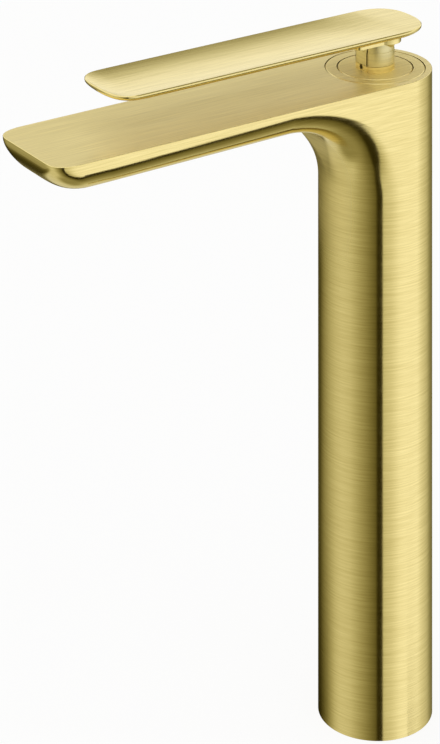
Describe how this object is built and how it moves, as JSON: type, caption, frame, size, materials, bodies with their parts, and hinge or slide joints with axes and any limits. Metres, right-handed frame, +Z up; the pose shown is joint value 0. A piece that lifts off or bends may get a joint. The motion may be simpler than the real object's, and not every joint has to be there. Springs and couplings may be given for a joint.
{
  "type": "bathroom basin mixer faucet",
  "caption": "Tall deck-mounted single-lever basin mixer with a round column, a flat wide spout level with its top, and a thin plate lever that turns for temperature and lifts for flow",
  "frame": {"origin": "on the column's axis at the deck face, the flat underside of the base", "axes": "+Z up the column, -Y along the spout to its tip, +X to the cold side"},
  "size_m": [0.05, 0.2017, 0.3006],
  "materials": {
    "brushed_gold": "fine brushed pale gold coating over cast brass, lengthwise on the spout and lever and round the column",
    "turned_brass": "bare machined brass with fine turning marks",
    "steel": "smooth stainless steel",
    "pale_plastic": "off-white moulded acetal",
    "dark_plastic": "dark grey moulded plastic",
    "red_plastic": "red moulded stop ring",
    "disc_ceramic": "lapped alumina, smooth and slightly glossy",
    "seal_rubber": "black moulded sealing rubber"
  },
  "bodies": {
    "body": {"body_casting": "brushed_gold", "base_insert": "turned_brass", "base_seal_ring": "seal_rubber", "hot_supply_tube": "steel", "cold_supply_tube": "steel", "cartridge_base": "pale_plastic", "port_seals": "seal_rubber", "fixed_ceramic_disc": "disc_ceramic", "cartridge_housing": "pale_plastic", "temperature_limit_ring": "red_plastic", "retaining_nut": "turned_brass", "cover_ring": "brushed_gold", "ring_o_ring": "seal_rubber", "aerator_housing": "steel", "aerator_seal": "seal_rubber", "flow_regulator": "dark_plastic", "aerator_insert": "pale_plastic", "aerator_screen": "steel"},
    "rotor": {"cartridge_rotor": "dark_plastic", "pivot_pin": "steel"},
    "lever_body": {"cartridge_stem": "turned_brass", "lever_cap": "brushed_gold", "lever": "brushed_gold", "grub_screw": "steel"},
    "valve": {"moving_ceramic_disc": "disc_ceramic", "disc_carrier": "dark_plastic"}
  },
  "joints": [
    {"name": "temperature_turn", "type": "hinge", "parent": "body", "child": "rotor", "pos_m": [0, 0, 0.2724], "axis": [0, 0, 1], "range_deg": [-50, 50]},
    {"name": "lever_lift", "type": "hinge", "parent": "rotor", "child": "lever_body", "pos_m": [0, 0, 0.2724], "axis": [-1, 0, 0], "range_deg": [0, 20]},
    {"name": "valve_slide", "type": "slide", "parent": "rotor", "child": "valve", "axis": [0, -1, 0], "range_m": [0, 0.006]}
  ],
  "couplings": [
    {"joint": "valve_slide", "follows": "lever_lift", "m_per_rad": 0.0168}
  ]
}
